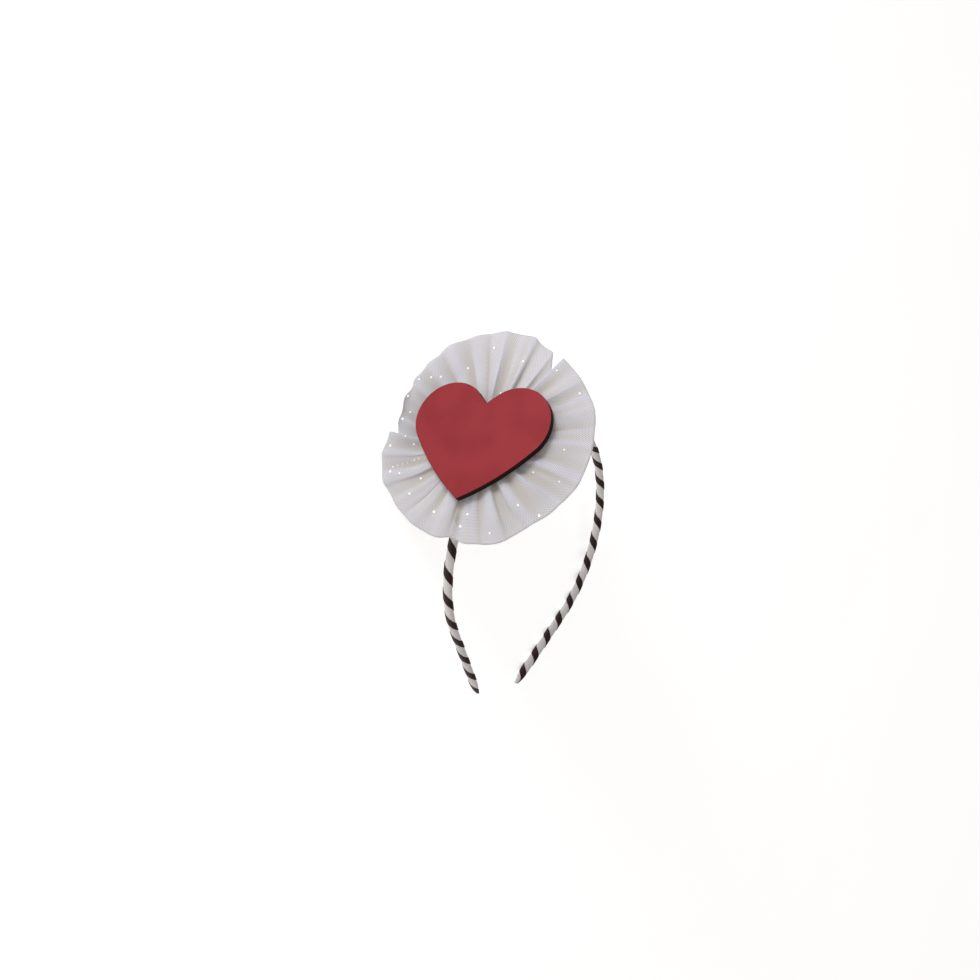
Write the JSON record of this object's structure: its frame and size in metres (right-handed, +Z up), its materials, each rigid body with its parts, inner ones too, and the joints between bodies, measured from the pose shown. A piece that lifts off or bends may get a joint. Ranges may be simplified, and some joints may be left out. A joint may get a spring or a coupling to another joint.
{
  "type": "heart headband",
  "caption": "Ribbon-wound springy headband lying on its side, with a gathered tulle rosette on one side and a flat red heart plate on the rosette.",
  "frame": {"origin": "on the surface that the headband lies on, under the middle of its bounding box", "axes": "+Z up from the surface, +Y towards the crown of the hoop, +X towards the limb opposite the rosette"},
  "size_m": [0.143, 0.1672, 0.084],
  "materials": {
    "white_ribbon": "off-white woven ribbon, low sheen",
    "black_ribbon": "brown-black woven ribbon, low sheen",
    "felt": "plain white felt",
    "tulle": "fine white net with small sparkles",
    "red_paint": "matte red paint on a laser-cut plate with a dark burnt edge"
  },
  "bodies": {
    "root": {"band": "white_ribbon", "stripe_ribbon": "black_ribbon", "felt_pad": "felt", "ruffle_back": "tulle", "ruffle_front": "tulle", "heart": "red_paint"}
  },
  "joints": []
}
